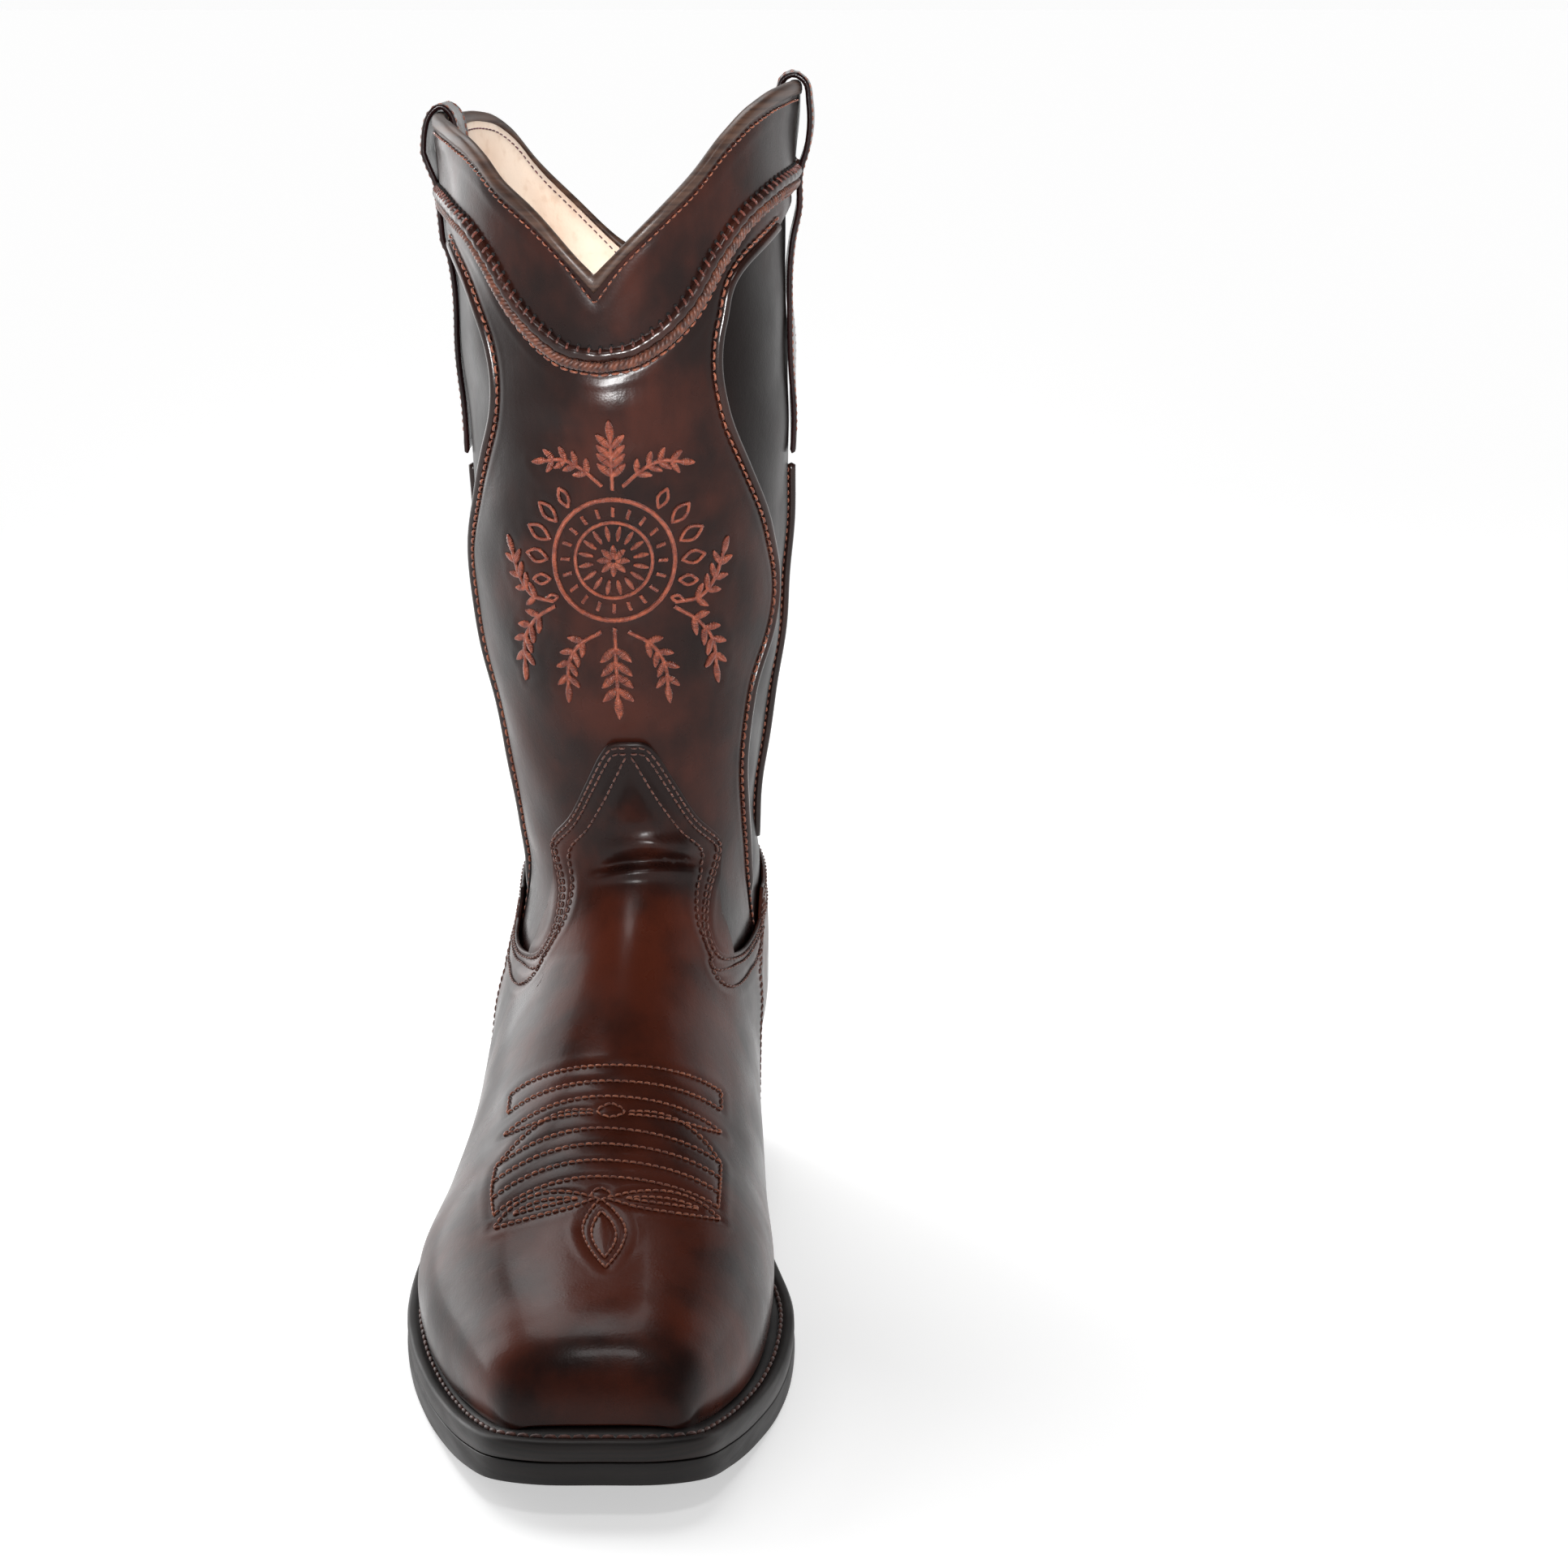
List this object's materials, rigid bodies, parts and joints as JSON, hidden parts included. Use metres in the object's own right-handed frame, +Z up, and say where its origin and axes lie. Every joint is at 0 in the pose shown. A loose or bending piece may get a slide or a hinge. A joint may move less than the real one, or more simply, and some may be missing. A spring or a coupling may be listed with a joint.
{
  "type": "cowboy boot",
  "caption": "Western pull-on boot with broad square toe, scalloped stitched shaft, inset side panels, pull straps, welted leather sole and stacked underslung heel.",
  "frame": {"origin": "centre of the bounding box in plan, on the ground the boot stands on", "axes": "+Z up through the shaft (longest extent), toe toward -Y, heel toward +Y, +X toward the medial (big toe) side (shortest extent)"},
  "size_m": [0.1144, 0.296, 0.3457],
  "materials": {
    "shaft_leather": "glossy burnished",
    "inset_leather": "glossy burnished",
    "foot_leather": "glossy burnished",
    "cord_leather": "glossy",
    "braid": "waxed thread",
    "binding_leather": "satin",
    "strap_leather": "glossy",
    "lining_leather": "matte natural",
    "fibre_board": "matte",
    "shank_steel": "brushed",
    "cork": "matte granular",
    "sole_leather": "waxed satin edge",
    "heel_leather": "waxed satin edge",
    "heel_rubber": "matte",
    "nail_brass": "worn"
  },
  "bodies": {
    "root": {"front_panel": "shaft_leather", "back_panel": "shaft_leather", "side_panel_lateral": "inset_leather", "side_panel_medial": "inset_leather", "collar_front": "shaft_leather", "collar_back": "shaft_leather", "collar_cord_front": "cord_leather", "collar_cord_back": "cord_leather", "collar_braid_front": "braid", "collar_braid_back": "braid", "panel_cord_front_lateral": "cord_leather", "panel_cord_front_medial": "cord_leather", "panel_cord_back_lateral": "cord_leather", "panel_cord_back_medial": "cord_leather", "side_seam_piping_lateral": "cord_leather", "side_seam_piping_medial": "cord_leather", "top_binding_front": "binding_leather", "top_binding_back": "binding_leather", "pull_strap_lateral": "strap_leather", "pull_strap_medial": "strap_leather", "shaft_lining_front": "lining_leather", "shaft_lining_back": "lining_leather", "vamp": "foot_leather", "counter_cover": "foot_leather", "vamp_lining": "lining_leather", "counter_lining": "lining_leather", "toe_puff": "fibre_board", "heel_stiffener": "fibre_board", "insole_board": "fibre_board", "sock_liner": "lining_leather", "steel_shank": "shank_steel", "cork_filler": "cork", "welt": "sole_leather", "heel_rand": "sole_leather", "outsole": "sole_leather", "heel_lift_1": "heel_leather", "heel_lift_2": "heel_leather", "heel_lift_3": "heel_leather", "heel_lift_4": "heel_leather", "heel_cap": "heel_rubber", "heel_nail_1": "nail_brass", "heel_nail_2": "nail_brass", "heel_nail_3": "nail_brass", "heel_nail_4": "nail_brass", "heel_nail_5": "nail_brass", "heel_nail_6": "nail_brass"}
  },
  "joints": []
}
